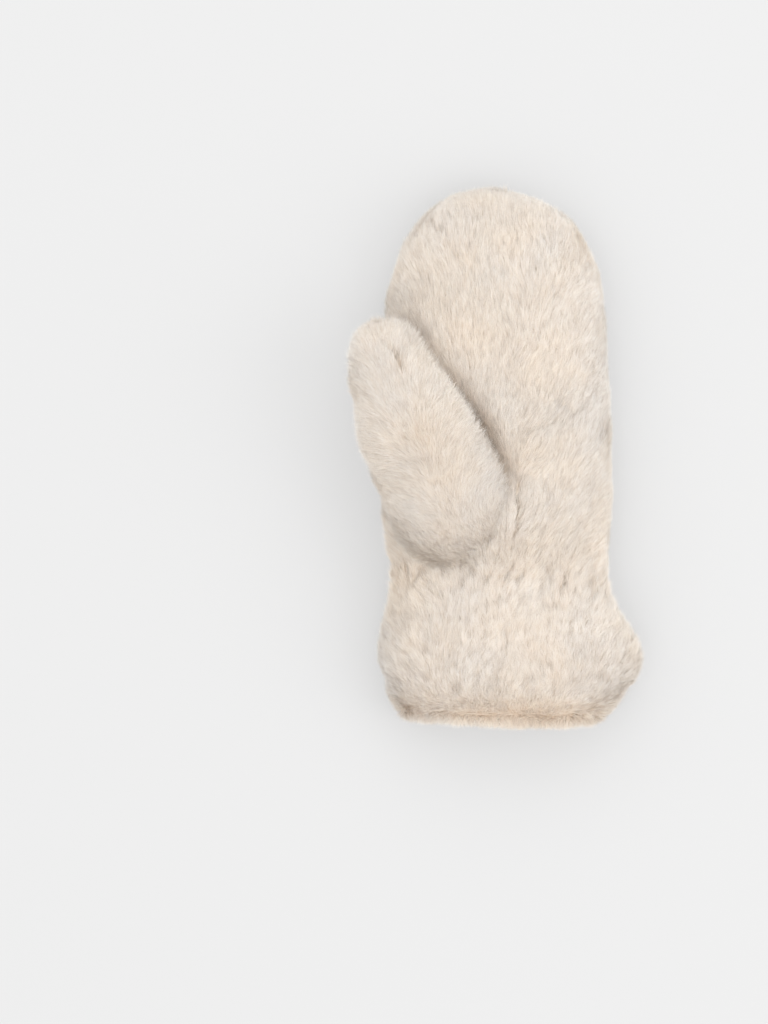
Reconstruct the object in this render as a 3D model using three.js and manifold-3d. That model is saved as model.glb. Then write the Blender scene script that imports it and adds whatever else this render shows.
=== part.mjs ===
// A left-hand mitten of plush fur. It lies on its back, palm up, with the thumb folded over the palm.
// Units are millimetres. +Z is up and the floor is Z = 0. +Y points to the fingertips, -X to the thumb.
// It is sewn from four pieces: back panel, palm panel with a hole for the thumb, thumb, and flared cuff.
// Each is a wall of cloth backing and fur, laid on in strips of locks that point to the fingertips.

import * as THREE from "three";
import { mergeVertices } from "three/addons/utils/BufferGeometryUtils.js";
import Module from "manifold-3d";

// Sizes over the fur
const LENGTH = 284;
const HAND_WIDTH = 118;
const PALM_RISE = 28; // the palm's crown above the side seam
const SEAM_HEIGHT = 20; // the side seam above the floor
const BACK_DROP = 23; // the back's fur below the side seam, before the floor flattens it
const NOSE_LENGTH = 66; // the rounded fingertip end, seen from above
const NOSE_ROUNDING = 30; // the same end, seen from the side
const NOSE_LEAN = 8; // how far the very tip leans to the thumb's side
const NOSE_LEAN_FADE = 10;
const TIP_RISE = 1; // the very tip's point above the side seam

// Wrist, cuff and hem
const WRIST_FROM_HEM = 78;
const WRIST_SKEW = 5; // degrees that the wrist seam slopes down to the little finger's side
const GATHER_DEPTH = 1.6;
const GATHER_REACH = 15; // how far the gathers run to each side of the wrist seam
const GATHER_COUNT = 12;
const HEM_GROOVE_FROM_HEM = 21;
const HEM_GROOVE_DEPTH = 1.8;
const HEM_GROOVE_REACH = 6;

// The wall, and the gap kept between sewn pieces
const BACKING = 2;
const PILE = 8;
const SEAM_GAP = 0.3;
const THUMB_SEAT_GAP = 0.7; // between the thumb's lock tips and the palm around its hole

// Fur strips and locks
const LOCK_RELIEF = 2.2;
const STRIP_PITCH = 12.5;
const LOCK_WIDTH = 9.6;
const LOCK_STAGGER = 2.8; // how far every second lock's tip reaches past its neighbours
const LOCK_RISE_SHARE = 0.8; // the share of a strip that rises to the lock tips
const SHORT_LOCK_DROP = 0.35; // how far below its neighbours a short lock's tip is, as a share of the relief

// Thumb
const THUMB_WIDTH = 62;
const THUMB_DEPTH = 38;
const THUMB_NOSE = 27;
const THUMB_HEEL = 30; // the rounded end of the gusset
const THUMB_LOCK_WIDTH = 11;

// How finely the rounded ends and the plain inner faces are divided
const LIP_STEPS = [0.02, 0.3, 0.65]; // shares of the hem's rounded edge
const NOSE_STEPS = 9;
const NOSE_STEPS_SHARE = 0.5; // the share of the fingertip end that has steps of its own, instead of strips
const THUMB_END_STEPS = 5;
const LINING_COLUMNS = 32;
const LINING_ROWS = 20;
const RING_SAMPLES = 240;

const WALL = BACKING + PILE;
const LIP = WALL / 2; // the radius of the hem's rounded edge
const HALF_HAND = HAND_WIDTH / 2;
const HAND_LENGTH = LENGTH - WRIST_FROM_HEM;
const PALM_TOP = SEAM_HEIGHT + PALM_RISE;
const HEM_Y = -LENGTH / 2;
const TIP_Y = LENGTH / 2;
const WRIST_Y = HEM_Y + WRIST_FROM_HEM;

// Sections of the body. at: -1 at the hem, 0 at the wrist seam and 1 at the fingertips, evenly between them.
// thumb, little: reach to each side, as shares of half the hand's width.
// palm, back: height above and depth below the side seam, as shares of PALM_RISE and BACK_DROP.
// skew: how much of the wrist's slope the section has.
const SECTIONS = [
  { at: -1.0, thumb: 0.88, little: 0.84, palm: 0.8, back: 0.95, skew: 0.4 },
  { at: -0.84, thumb: 1.0, little: 1.08, palm: 0.94, back: 1.0, skew: 0.5 },
  { at: -0.62, thumb: 1.07, little: 1.29, palm: 1.0, back: 1.0, skew: 0.7 },
  { at: -0.42, thumb: 1.06, little: 1.3, palm: 1.0, back: 1.0, skew: 0.9 },
  { at: -0.2, thumb: 1.0, little: 1.16, palm: 0.92, back: 0.97, skew: 1.0 },
  { at: 0.0, thumb: 0.93, little: 1.02, palm: 0.82, back: 0.9, skew: 1.0 },
  { at: 0.09, thumb: 0.95, little: 1.01, palm: 0.88, back: 0.95, skew: 0.9 },
  { at: 0.17, thumb: 0.985, little: 1.03, palm: 0.95, back: 1.0, skew: 0.7 },
  { at: 0.32, thumb: 1.03, little: 1.04, palm: 1.0, back: 1.02, skew: 0.3 },
  { at: 0.5, thumb: 1.02, little: 1.02, palm: 1.0, back: 1.02, skew: 0.05 },
  { at: 0.68, thumb: 1.01, little: 0.985, palm: 0.96, back: 1.0, skew: 0.0 },
  { at: 1.0, thumb: 1.01, little: 0.985, palm: 0.86, back: 0.96, skew: 0.0 },
];

// The thumb's midline from the gusset's heel to the tip.
// across: share of half the hand's width. along: share of the hand's length, from the wrist seam.
// lift: height above the palm's crown, as a share of half of THUMB_DEPTH.
// width, depth: the section, as shares of THUMB_WIDTH and THUMB_DEPTH.
const THUMB_STATIONS = [
  { across: -0.2, along: 0.04, lift: -0.68, width: 1.02, depth: 0.86 },
  { across: -0.36, along: 0.14, lift: -0.42, width: 1.05, depth: 0.98 },
  { across: -0.55, along: 0.26, lift: -0.1, width: 1.02, depth: 1.0 },
  { across: -0.77, along: 0.385, lift: 0.3, width: 0.93, depth: 0.96 },
  { across: -0.96, along: 0.52, lift: 0.34, width: 0.72, depth: 0.86 },
  { across: -1.09, along: 0.65, lift: -0.05, width: 0.6, depth: 0.78 },
];

// Roundness of the sections: 2 is an ellipse, more is fuller at the sides
const BODY_FULLNESS = 2.5;
const THUMB_FULLNESS = 2.2;

const wasm = await Module();
wasm.setup();

// Smooth value of one column of a table at a share, through its rows.
function columnAt(table, column, at) {
  const last = table.length - 1;
  let row = 0;
  while (row < last - 1 && at > table[row + 1].at) row += 1;
  const value = (index) => table[Math.min(Math.max(index, 0), last)][column];
  const place = (index) => table[Math.min(Math.max(index, 0), last)].at;
  const span = place(row + 1) - place(row);
  const t = Math.min(Math.max((at - place(row)) / span, 0), 1);
  const slopeAt = (index) => {
    const run = place(index + 1) - place(index - 1);
    return run > 0 ? (value(index + 1) - value(index - 1)) / run : 0;
  };
  const start = slopeAt(row) * span;
  const end = slopeAt(row + 1) * span;
  const t2 = t * t;
  const t3 = t2 * t;
  const fromStart = (2 * t3 - 3 * t2 + 1) * value(row) + (t3 - 2 * t2 + t) * start;
  const fromEnd = (3 * t2 - 2 * t3) * value(row + 1) + (t3 - t2) * end;
  return fromStart + fromEnd;
}

// A quarter round that rises from 0 at its end to 1 at its reach.
function quarterRound(distance, reach) {
  const rest = 1 - Math.min(Math.max(distance / reach, 0), 1);
  return Math.sqrt(1 - rest * rest);
}

// A bell of height 1 at 0 that fades to about nothing at twice its reach.
function bell(distance, reach) {
  return Math.exp(-((distance / reach) ** 2));
}

// A place along the body as the table of sections counts it.
function bodyShare(y) {
  return (y - WRIST_Y) / (y < WRIST_Y ? WRIST_FROM_HEM : HAND_LENGTH);
}

// The body's section at a place along it, drawn in by an inset.
function bodySection(y, inset) {
  const fromTip = TIP_Y - inset - y;
  const at = bodyShare(y);
  const noseInPlan = quarterRound(fromTip, NOSE_LENGTH - inset);
  const noseInSide = quarterRound(fromTip, NOSE_ROUNDING - inset / 2);
  const lean = NOSE_LEAN * Math.exp(-Math.max(fromTip, 0) / NOSE_LEAN_FADE);
  return {
    thumb: (columnAt(SECTIONS, "thumb", at) * HALF_HAND - inset) * noseInPlan + lean,
    little: (columnAt(SECTIONS, "little", at) * HALF_HAND - inset) * noseInPlan - lean,
    palm: (columnAt(SECTIONS, "palm", at) * PALM_RISE - inset) * noseInSide,
    back: (columnAt(SECTIONS, "back", at) * BACK_DROP - inset) * noseInSide,
    skew: Math.tan(THREE.MathUtils.degToRad(WRIST_SKEW)) * columnAt(SECTIONS, "skew", at),
  };
}

// Points of a rounded section, equally spaced over its upper half and again over its lower half.
// Each point has its place, across and up, and its outward direction.
function sectionPoints(shape, fullness, columns) {
  const power = 2 / fullness;
  const half = columns / 2;
  const points = [];
  for (const [side, rise] of [[1, shape.palm], [-1, shape.back]]) {
    const fine = [];
    const lengths = [0];
    for (let i = 0; i <= RING_SAMPLES; i += 1) {
      const angle = (Math.PI * i) / RING_SAMPLES;
      const across = Math.cos(angle) * side;
      const reach = across > 0 ? shape.little : shape.thumb;
      const x = Math.sign(across) * Math.abs(across) ** power * reach;
      const z = side * Math.sin(angle) ** power * rise;
      fine.push(new THREE.Vector2(x, z));
      if (i > 0) lengths.push(lengths[i - 1] + fine[i].distanceTo(fine[i - 1]));
    }
    for (let j = 0; j < half; j += 1) {
      const wanted = (lengths[RING_SAMPLES] * j) / half;
      let i = 1;
      while (lengths[i] < wanted) i += 1;
      const t = (wanted - lengths[i - 1]) / Math.max(lengths[i] - lengths[i - 1], 1e-9);
      points.push({ place: fine[i - 1].clone().lerp(fine[i], t) });
    }
  }
  points.forEach((point, j) => {
    const before = points[(j + columns - 1) % columns].place;
    const after = points[(j + 1) % columns].place;
    const along = after.clone().sub(before).normalize();
    point.out = new THREE.Vector2(along.y, -along.x);
  });
  return points;
}

// A closed solid through rings of points, drawn together to a pole before the first and after the last.
function loft(rings, poles) {
  const columns = rings[0].length;
  const triangles = [];
  for (let i = 0; i + 1 < rings.length; i += 1) {
    for (let j = 0; j < columns; j += 1) {
      const a = i * columns + j;
      const b = i * columns + ((j + 1) % columns);
      triangles.push(a, b, a + columns, b, b + columns, a + columns);
    }
  }
  const firstPole = rings.length * columns;
  const lastRing = firstPole - columns;
  for (let j = 0; j < columns; j += 1) {
    const next = (j + 1) % columns;
    triangles.push(next, j, firstPole, lastRing + j, lastRing + next, firstPole + 1);
  }
  const geometry = new THREE.BufferGeometry().setFromPoints([...rings.flat(), ...poles]);
  geometry.setIndex(triangles);
  return solidOf(geometry);
}

// A three.js geometry as a manifold solid with its faces pointing out.
function solidOf(geometry) {
  const bare = geometry.clone();
  bare.deleteAttribute("normal");
  bare.deleteAttribute("uv");
  const merged = mergeVertices(bare, 1e-4);
  const vertProperties = merged.attributes.position.array;
  const triVerts = new Uint32Array(merged.index.array);
  const made = new wasm.Manifold(new wasm.Mesh({ numProp: 3, vertProperties, triVerts }));
  if (made.volume() > 0) return made;
  triVerts.reverse();
  return new wasm.Manifold(new wasm.Mesh({ numProp: 3, vertProperties, triVerts }));
}

// A box between two corners, as a manifold solid.
function boxOf(low, high) {
  const size = high.clone().sub(low);
  const box = new THREE.BoxGeometry(size.x, size.y, size.z);
  const middle = low.clone().add(high).divideScalar(2);
  return solidOf(box.translate(middle.x, middle.y, middle.z));
}

// Rows of fur strips over a length: each strip starts low and rises to its lock tips.
function stripRows(start, end, pitch) {
  const count = Math.max(1, Math.round((end - start) / pitch));
  const strip = (end - start) / count;
  const rows = [];
  for (let i = 0; i < count; i += 1) {
    const foot = start + i * strip;
    rows.push({ at: foot, low: true }, { at: foot + strip * LOCK_RISE_SHARE, low: false });
  }
  return rows;
}

// How far a lock's corner stands in from the fur's outline, and how far its tip is shifted along the pile.
function lockShape(row, column) {
  if (row.low) return { inset: LOCK_RELIEF, shift: 0 };
  const long = column % 2 === 0;
  const inset = long ? 0 : LOCK_RELIEF * SHORT_LOCK_DROP;
  return { inset, shift: (long ? 1 : -1) * LOCK_STAGGER / 2 };
}

// Places of rings along a rounded end, closest together near its pole, from the pole outwards.
function endSteps(count, reach) {
  const steps = [];
  for (let i = 0; i < count; i += 1) {
    const turn = (Math.PI / 2) * ((i + 1) / (count + 1));
    steps.push(reach * (1 - Math.cos(turn)));
  }
  return steps;
}

// How far the hem's rounded edge draws a ring in from the wall's face.
function lipInset(y) {
  return LIP * (1 - quarterRound(y - HEM_Y, LIP));
}

// How far the gathers at the wrist and the groove along the hem press a corner of the fur in.
function tuckInset(y, column, columns) {
  const ripple = (1 + Math.cos((2 * Math.PI * GATHER_COUNT * column) / columns)) / 2;
  const gather = GATHER_DEPTH * bell(y - WRIST_Y, GATHER_REACH) * ripple;
  const groove = HEM_GROOVE_DEPTH * bell(y - HEM_Y - HEM_GROOVE_FROM_HEM, HEM_GROOVE_REACH);
  return gather + groove;
}

// The points that close the body's loft at the hem and at the fingertips.
function bodyPoles(hemY, tipY) {
  const hem = new THREE.Vector3(0, hemY, SEAM_HEIGHT);
  const tip = new THREE.Vector3(-NOSE_LEAN, tipY, SEAM_HEIGHT + TIP_RISE);
  return [hem, tip];
}

// The fur's outline over hand and cuff as one solid, with its locks, flattened where it lies on the floor.
function bodyOutside() {
  const halfGirth = Math.PI * (HALF_HAND + (PALM_RISE + BACK_DROP) / 2) / 2;
  const columns = 4 * Math.round(halfGirth / LOCK_WIDTH);
  const noseStart = TIP_Y - NOSE_LENGTH * NOSE_STEPS_SHARE;
  const noseSteps = endSteps(NOSE_STEPS, NOSE_LENGTH * NOSE_STEPS_SHARE).reverse();
  const rows = [
    ...LIP_STEPS.map((share) => ({ at: HEM_Y + LIP * share, plain: true })),
    ...stripRows(HEM_Y + LIP, noseStart, STRIP_PITCH),
    ...noseSteps.map((step, i) => ({ at: TIP_Y - step, low: i % 2 === 0 })),
  ];
  const rings = rows.map((row) => {
    const shape = bodySection(row.at, 0);
    const fade = row.plain ? 0 : quarterRound(TIP_Y - row.at, NOSE_ROUNDING);
    return sectionPoints(shape, BODY_FULLNESS, columns).map((point, j) => {
      const lock = lockShape(row, j);
      const inset = lipInset(row.at) + tuckInset(row.at, j, columns) + lock.inset * fade;
      const { place, out } = point;
      return new THREE.Vector3(
        place.x - out.x * inset,
        row.at + lock.shift * fade - shape.skew * place.x,
        Math.max(0, SEAM_HEIGHT + place.y - out.y * inset),
      );
    });
  });
  return loft(rings, bodyPoles(HEM_Y, TIP_Y));
}

// The room inside hand and cuff, open at the hem, where its edge is rounded over.
function bodyInside() {
  const start = HEM_Y + LIP;
  const reach = TIP_Y - WALL - start;
  const rows = [-1, ...LIP_STEPS].map((share) => HEM_Y + LIP * share);
  for (let i = 0; i < LINING_ROWS; i += 1) {
    rows.push(start + reach * Math.sin((Math.PI / 2) * (i / LINING_ROWS)));
  }
  const rings = rows.map((y) => {
    const shape = bodySection(Math.max(y, HEM_Y), WALL);
    return sectionPoints(shape, BODY_FULLNESS, LINING_COLUMNS).map(({ place, out }) => new THREE.Vector3(
      place.x + out.x * lipInset(y),
      y - shape.skew * place.x,
      SEAM_HEIGHT + place.y + out.y * lipInset(y),
    ));
  });
  return loft(rings, bodyPoles(HEM_Y - LIP, TIP_Y - WALL));
}

// The thumb's midline, with the width and depth of its section at any share of its length.
function thumbGuide() {
  const middles = THUMB_STATIONS.map((station) => new THREE.Vector3(
    station.across * HALF_HAND,
    WRIST_Y + station.along * HAND_LENGTH,
    PALM_TOP + station.lift * (THUMB_DEPTH / 2),
  ));
  const curve = new THREE.CatmullRomCurve3(middles);
  const table = THUMB_STATIONS.map((station, i) => ({ ...station, at: i / (THUMB_STATIONS.length - 1) }));
  return { curve, table, length: curve.getLength() };
}

// The thumb as one solid, drawn in by an inset or grown by a negative one, with or without locks.
function thumbSolid(inset, columns, withLocks) {
  const { curve, table, length } = thumbGuide();
  const start = inset;
  const end = length - inset;
  const heel = Math.max(THUMB_HEEL - inset, 1);
  const nose = Math.max(THUMB_NOSE - inset, 1);
  const heelSteps = endSteps(THUMB_END_STEPS, heel);
  const noseSteps = endSteps(THUMB_END_STEPS, nose).reverse();
  const rows = [
    ...heelSteps.map((step, i) => ({ at: start + step, low: i % 2 === 0 })),
    ...stripRows(start + heel, end - nose, STRIP_PITCH),
    ...noseSteps.map((step, i) => ({ at: end - step, low: i % 2 === 0 })),
  ];
  const guideAt = (at) => {
    const share = Math.min(Math.max(at / length, 0), 1);
    const forward = curve.getTangentAt(share);
    const middle = curve.getPointAt(share).addScaledVector(forward, at - share * length);
    return { share, forward, middle };
  };
  const rings = rows.map((row) => {
    const { share, forward, middle } = guideAt(row.at);
    const sideways = new THREE.Vector3(forward.y, -forward.x, 0).normalize();
    const upward = new THREE.Vector3().crossVectors(sideways, forward);
    const rounding = quarterRound(row.at - start, heel) * quarterRound(end - row.at, nose);
    const halfWidth = (columnAt(table, "width", share) * THUMB_WIDTH / 2 - inset) * rounding;
    const halfDepth = (columnAt(table, "depth", share) * THUMB_DEPTH / 2 - inset) * rounding;
    const shape = { thumb: halfWidth, little: halfWidth, palm: halfDepth, back: halfDepth };
    const fade = withLocks ? rounding : 0;
    return sectionPoints(shape, THUMB_FULLNESS, columns).map(({ place, out }, j) => {
      const lock = lockShape(row, j);
      return middle.clone()
        .addScaledVector(sideways, place.x - out.x * lock.inset * fade)
        .addScaledVector(upward, place.y - out.y * lock.inset * fade)
        .addScaledVector(forward, lock.shift * fade);
    });
  });
  return loft(rings, [guideAt(start).middle, guideAt(end).middle]);
}

// The space on one side of the wrist seam, which slopes.
function beyondWrist(offset, towardsFingers) {
  const far = LENGTH;
  const block = new THREE.BoxGeometry(2 * far, far, 2 * far);
  block.translate(0, towardsFingers ? far / 2 + offset : -far / 2 + offset, 0);
  block.rotateZ(-THREE.MathUtils.degToRad(WRIST_SKEW));
  return solidOf(block.translate(0, WRIST_Y, 0));
}

// The half of space above or below the side seam.
function besideSeam(height, above) {
  const far = LENGTH;
  const low = new THREE.Vector3(-far, -far, above ? height : -far);
  const high = new THREE.Vector3(far, far, above ? far : height);
  return boxOf(low, high);
}

// A solid as a named mesh with the fur's plain finish.
function meshOf(name, solid, colour) {
  const { vertProperties, triVerts } = solid.getMesh();
  const geometry = new THREE.BufferGeometry();
  geometry.setAttribute("position", new THREE.BufferAttribute(vertProperties, 3));
  geometry.setIndex(new THREE.BufferAttribute(triVerts, 1));
  geometry.computeVertexNormals();
  const material = new THREE.MeshStandardMaterial({ color: colour, roughness: 0.95, metalness: 0 });
  const mesh = new THREE.Mesh(geometry, material);
  mesh.name = name;
  return mesh;
}

const halfGap = SEAM_GAP / 2;
const room = bodyInside();
const shell = bodyOutside().subtract(room);
const thumbColumns = 4 * Math.round((THUMB_WIDTH + THUMB_DEPTH) * Math.PI / 4 / THUMB_LOCK_WIDTH);
const thumbSpace = thumbSolid(-THUMB_SEAT_GAP, thumbColumns, false);
const thumbRoom = thumbSolid(WALL, thumbColumns / 2, false);

const hand = shell.intersect(beyondWrist(halfGap, true));
const cuff = shell.intersect(beyondWrist(-halfGap, false));
const backPanel = hand.intersect(besideSeam(SEAM_HEIGHT - halfGap, false));
const palmPanel = hand.intersect(besideSeam(SEAM_HEIGHT + halfGap, true)).subtract(thumbSpace);
const thumb = thumbSolid(0, thumbColumns, true).subtract(thumbRoom).subtract(room);

const mitten = new THREE.Group();
mitten.add(meshOf("back_panel", backPanel, 0xe6dccd));
mitten.add(meshOf("palm_panel", palmPanel, 0xeadfd0));
mitten.add(meshOf("thumb", thumb, 0xebe1d3));
mitten.add(meshOf("cuff", cuff, 0xe8ddcd));

export default mitten;
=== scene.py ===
"""A left-hand plush fur mitten, dressed around its construction model.

Each sewn piece is a wall of cloth backing under a coat of fur. The walls are copies of the construction
model's own solids, drawn in from the outline to the fur's roots. The fur is made of thin blades, rooted on
those walls, that rise to the model's outline and lean the way the pile is brushed.

Lengths are metres in the frame of the construction model: +Y to the fingertips, -X to the thumb, +Z up.
"""

import logging
import math
from dataclasses import dataclass, field
from enum import Enum

import bpy
import numpy as np
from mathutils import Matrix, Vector
from mathutils.bvhtree import BVHTree


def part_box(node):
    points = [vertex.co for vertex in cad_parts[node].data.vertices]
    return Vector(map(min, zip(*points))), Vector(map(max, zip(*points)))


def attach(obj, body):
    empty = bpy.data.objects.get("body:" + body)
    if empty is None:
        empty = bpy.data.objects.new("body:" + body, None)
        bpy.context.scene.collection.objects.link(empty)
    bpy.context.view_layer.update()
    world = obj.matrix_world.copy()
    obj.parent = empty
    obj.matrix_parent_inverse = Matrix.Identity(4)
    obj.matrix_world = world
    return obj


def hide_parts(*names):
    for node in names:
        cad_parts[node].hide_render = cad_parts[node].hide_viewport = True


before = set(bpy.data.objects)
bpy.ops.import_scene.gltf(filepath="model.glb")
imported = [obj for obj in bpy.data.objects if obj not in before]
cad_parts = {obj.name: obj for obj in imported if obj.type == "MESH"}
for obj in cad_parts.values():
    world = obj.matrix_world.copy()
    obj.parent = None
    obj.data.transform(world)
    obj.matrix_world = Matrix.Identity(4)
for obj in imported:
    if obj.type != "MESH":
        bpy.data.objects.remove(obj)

LOG = logging.getLogger("mitten")
MM = 0.001
BODY = "root"


class Slot(Enum):
    """The finishes that the record names."""

    FUR = "fur_pile"
    BACKING = "backing_cloth"


class Zone(Enum):
    """The sewn pieces, each with the node that it stands for."""

    BACK = "back_panel"
    PALM = "palm_panel"
    THUMB = "thumb"
    CUFF = "cuff"


def linear(red: float, green: float, blue: float) -> tuple[float, float, float]:
    """A colour on the screen's scale of 0 to 255 as linear shares.

    Args:
        red: Red, 0 to 255.
        green: Green, 0 to 255.
        blue: Blue, 0 to 255.

    Returns:
        The three linear shares.
    """
    shares = np.array([red, green, blue]) / 255
    low = shares / 12.92
    high = ((shares + 0.055) / 1.055) ** 2.4
    return tuple(float(v) for v in np.where(shares <= 0.04045, low, high))


def unit(vectors: np.ndarray) -> np.ndarray:
    """Vectors scaled to length 1 along their last axis."""
    length = np.linalg.norm(vectors, axis=-1, keepdims=True)
    return vectors / np.maximum(length, 1e-12)


def fade(values: np.ndarray, start: float, end: float) -> np.ndarray:
    """A smooth step from 0 at start to 1 at end.

    Args:
        values: Where the step is read.
        start: The value where it begins.
        end: The value where it ends.

    Returns:
        Shares from 0 to 1.
    """
    t = np.clip((values - start) / (end - start), 0, 1)
    return t * t * (3 - 2 * t)


@dataclass(frozen=True)
class Ripple:
    """Smooth noise over space, made of a few waves in random directions."""

    seed: int
    wavelength: float
    waves: int = 14

    def at(self, points: np.ndarray) -> np.ndarray:
        """The noise at each point, about -1 to 1.

        Args:
            points: Places, one to a row.

        Returns:
            One value for each point.
        """
        random = np.random.default_rng(self.seed)
        total = np.zeros(len(points))
        for _ in range(self.waves):
            way = unit(random.normal(size=3))
            length = self.wavelength * random.uniform(0.6, 1.6)
            phase = random.uniform(0, 2 * math.pi)
            total += np.sin(points @ way * (2 * math.pi / length) + phase)
        return total / math.sqrt(self.waves)


@dataclass
class Form:
    """The outline over the fur of one main form, as a grid of points along it and round it.

    A point is its row's origin plus its reach times a direction, so the reach is close to 1 all over.
    """

    origins: np.ndarray
    directions: np.ndarray
    reach: np.ndarray
    points: np.ndarray = field(init=False)
    shift: np.ndarray = field(init=False)
    normals: np.ndarray = field(init=False)
    along: np.ndarray = field(init=False)

    def __post_init__(self) -> None:
        """Places the points and works out the outward normals."""
        self.points = self.origins[:, None] + self.directions * self.reach[..., None]
        self.shift = np.zeros_like(self.points)
        self.refresh()

    def swell(self, amount: np.ndarray) -> None:
        """Moves the outline out along its normals, and keeps the move for the wall below.

        Args:
            amount: How far each point moves.
        """
        move = self.normals * amount[..., None]
        self.shift += move
        self.points = self.points + move
        self.refresh()

    def refresh(self) -> None:
        """Works out the normals, and the way from row to row, again from the points."""
        along = np.gradient(self.points, axis=0)
        self.along = unit(along)
        round_ = np.roll(self.points, -1, axis=1) - np.roll(self.points, 1, axis=1)
        normals = unit(np.cross(round_, along))
        outward = np.sum(normals * self.directions, axis=-1)
        self.normals = normals * np.where(outward < 0, -1, 1)[..., None]

    def tree(self) -> BVHTree:
        """The outline as a search tree of triangles."""
        rows, columns = self.points.shape[:2]
        faces = []
        for i in range(rows - 1):
            for j in range(columns):
                k = (j + 1) % columns
                a, b = i * columns + j, i * columns + k
                faces.append((a, a + columns, b + columns, b))
        plain = self.points - self.shift
        return BVHTree.FromPolygons(plain.reshape(-1, 3).tolist(), faces)

    def areas(self) -> np.ndarray:
        """The area of each cell between two rows and two columns."""
        along = self.points[1:] - self.points[:-1]
        round_ = np.roll(self.points, -1, axis=1) - self.points
        cross = np.cross(along, (round_[1:] + round_[:-1]) / 2)
        return np.linalg.norm(cross, axis=-1)

    def read(self, grid: np.ndarray, rows: np.ndarray, columns: np.ndarray) -> np.ndarray:
        """A grid's values between its points.

        Args:
            grid: One value or vector for each point of the outline.
            rows: Places along, in rows.
            columns: Places round, in columns.

        Returns:
            The values there.
        """
        count, width = grid.shape[:2]
        i = np.clip(rows.astype(int), 0, count - 2)
        j = columns.astype(int) % width
        s, t = rows - i, columns - np.floor(columns)
        if grid.ndim == 3:
            s, t = s[:, None], t[:, None]
        k = (j + 1) % width
        low = grid[i, j] * (1 - t) + grid[i, k] * t
        high = grid[i + 1, j] * (1 - t) + grid[i + 1, k] * t
        return low * (1 - s) + high * s


def outer_reach(tree: BVHTree, origins: np.ndarray, directions: np.ndarray) -> np.ndarray:
    """How far the outermost surface lies along each direction, as a share of the direction's length.

    Args:
        tree: The surface.
        origins: One origin for each row.
        directions: The directions of each row.

    Returns:
        The shares, with holes filled from the rows beside them.
    """
    far = 3.0
    rows, columns = directions.shape[:2]
    reach = np.full((rows, columns), np.nan)
    for i in range(rows):
        origin = Vector(origins[i])
        for j in range(columns):
            way = Vector(directions[i, j])
            length = way.length
            hit = tree.ray_cast(origin + way * far, -way, length * far)
            if hit[0] is not None:
                reach[i, j] = (hit[0] - origin).length / length
    middle = np.nanmedian(reach)
    reach[reach < middle * 0.6] = np.nan
    places = np.arange(rows)
    for j in range(columns):
        known = ~np.isnan(reach[:, j])
        if known.any():
            reach[:, j] = np.interp(places, places[known], reach[known, j])
        else:
            reach[:, j] = middle
    return reach


def evened(grid: np.ndarray, along: int, round_: int, keep: int) -> np.ndarray:
    """A grid with its short waves taken out.

    Args:
        grid: The values, row by row.
        along: How many rows a window spans.
        round_: How many columns a window spans.
        keep: Rows at the start that stay as they are.

    Returns:
        The evened values.
    """
    smooth = grid.copy()
    half = along // 2
    for _ in range(2):
        padded = np.pad(smooth, ((half, half), (0, 0)), mode="reflect", reflect_type="odd")
        smooth = np.mean([padded[k:k + len(grid)] for k in range(along)], axis=0)
        half_round = round_ // 2
        smooth = np.mean([np.roll(smooth, k, axis=1) for k in range(-half_round, half_round + 1)], axis=0)
    blend = fade(np.arange(len(grid)).astype(float), keep - 1, keep + along)[:, None]
    rough = np.mean([np.roll(grid, k, axis=1) for k in range(-round_, round_ + 1)], axis=0)
    return rough * (1 - blend) + smooth * blend


def merged_tree(names: list[str]) -> BVHTree:
    """The triangles of some nodes of the construction model as one search tree."""
    points, faces = [], []
    for name in names:
        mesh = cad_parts[name].data
        start = len(points)
        points.extend(v.co.copy() for v in mesh.vertices)
        faces.extend([start + i for i in p.vertices] for p in mesh.polygons)
    return BVHTree.FromPolygons(points, faces)


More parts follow.
